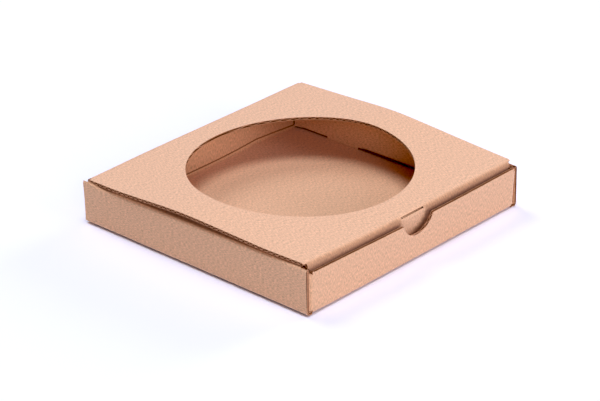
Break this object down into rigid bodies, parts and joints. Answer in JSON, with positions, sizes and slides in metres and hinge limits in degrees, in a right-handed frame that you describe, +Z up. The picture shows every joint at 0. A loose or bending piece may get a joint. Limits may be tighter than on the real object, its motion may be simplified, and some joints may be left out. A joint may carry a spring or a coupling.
{
  "type": "die-cut window box",
  "caption": "Flat square box of corrugated kraft card with rolled side walls, a hinged tuck-in lid with a round window, and a thumb notch in the front wall.",
  "frame": {"origin": "middle of the base, on the surface that the box stands on", "axes": "+X along the front from left to right, -Y out of the front wall with the thumb notch, +Y towards the lid's hinge, +Z up"},
  "size_m": [0.16, 0.1532, 0.0293],
  "materials": {
    "kraft_board": "matt uncoated kraft liner"
  },
  "bodies": {
    "tray": {"tray": "kraft_board"},
    "lid": {"lid": "kraft_board"}
  },
  "joints": [
    {"name": "lid_hinge", "type": "hinge", "parent": "tray", "child": "lid", "pos_m": [0, 0.0758, 0.0256], "axis": [-1, 0, 0], "range_deg": [0, 180]}
  ]
}
